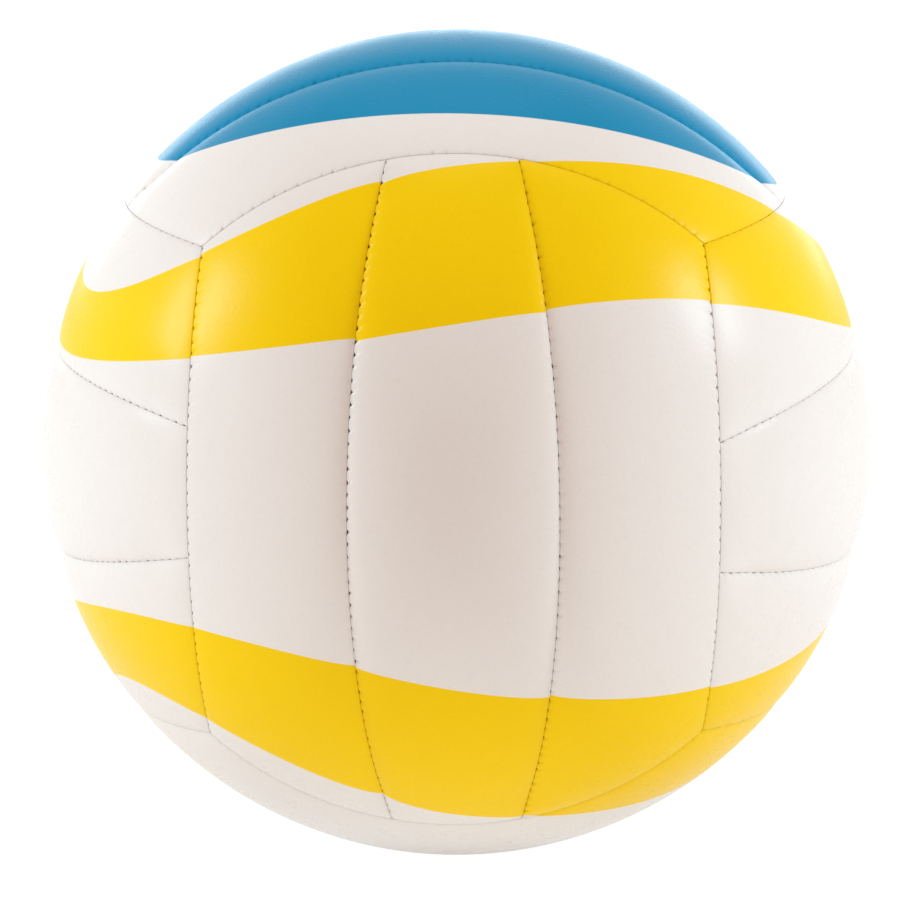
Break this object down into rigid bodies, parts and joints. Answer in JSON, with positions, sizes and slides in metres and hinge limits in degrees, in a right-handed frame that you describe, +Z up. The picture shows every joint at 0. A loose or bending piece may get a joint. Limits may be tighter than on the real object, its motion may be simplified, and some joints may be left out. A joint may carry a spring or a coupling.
{
  "type": "beach volleyball",
  "caption": "Beach volleyball: soft printed leather panels stitched over foam, a cloth lining and an inflated rubber bladder, with a needle valve.",
  "frame": {"origin": "centre of the ball", "axes": "+Z up as in the picture; the front group of panels, whose strips stand upright, faces -Y, and the needle hole in the back group leaves along +Y; +X is to the right seen from the front"},
  "size_m": [0.2132, 0.2131, 0.2132],
  "materials": {
    "cover_white": "satin, fine pebble grain, printed bands",
    "cover_blue": "satin, fine pebble grain",
    "foam": "matte closed-cell foam",
    "lining_cloth": "matte woven cloth",
    "seam_thread": "matte twisted thread",
    "bladder_rubber": "matte",
    "patch_cloth": "matte woven cloth",
    "valve_rubber": "matte",
    "core_rubber": "matte"
  },
  "bodies": {
    "root": {"front_left_panel": "cover_white", "front_middle_panel": "cover_white", "front_right_panel": "cover_white", "back_right_panel": "cover_white", "back_middle_panel": "cover_white", "back_left_panel": "cover_white", "left_lower_panel": "cover_white", "left_middle_panel": "cover_white", "left_upper_panel": "cover_white", "right_upper_panel": "cover_white", "right_middle_panel": "cover_white", "right_lower_panel": "cover_white", "top_back_panel": "cover_blue", "top_middle_panel": "cover_blue", "top_front_panel": "cover_blue", "bottom_front_panel": "cover_white", "bottom_middle_panel": "cover_white", "bottom_back_panel": "cover_white", "front_left_foam": "foam", "front_middle_foam": "foam", "front_right_foam": "foam", "back_right_foam": "foam", "back_middle_foam": "foam", "back_left_foam": "foam", "left_lower_foam": "foam", "left_middle_foam": "foam", "left_upper_foam": "foam", "right_upper_foam": "foam", "right_middle_foam": "foam", "right_lower_foam": "foam", "top_back_foam": "foam", "top_middle_foam": "foam", "top_front_foam": "foam", "bottom_front_foam": "foam", "bottom_middle_foam": "foam", "bottom_back_foam": "foam", "front_lining": "lining_cloth", "back_lining": "lining_cloth", "left_lining": "lining_cloth", "right_lining": "lining_cloth", "top_lining": "lining_cloth", "bottom_lining": "lining_cloth", "front_stitching": "seam_thread", "back_stitching": "seam_thread", "left_stitching": "seam_thread", "right_stitching": "seam_thread", "top_stitching": "seam_thread", "bottom_stitching": "seam_thread", "bladder": "bladder_rubber", "valve_patch": "patch_cloth", "valve_boot": "valve_rubber", "valve_core": "core_rubber"}
  },
  "joints": []
}
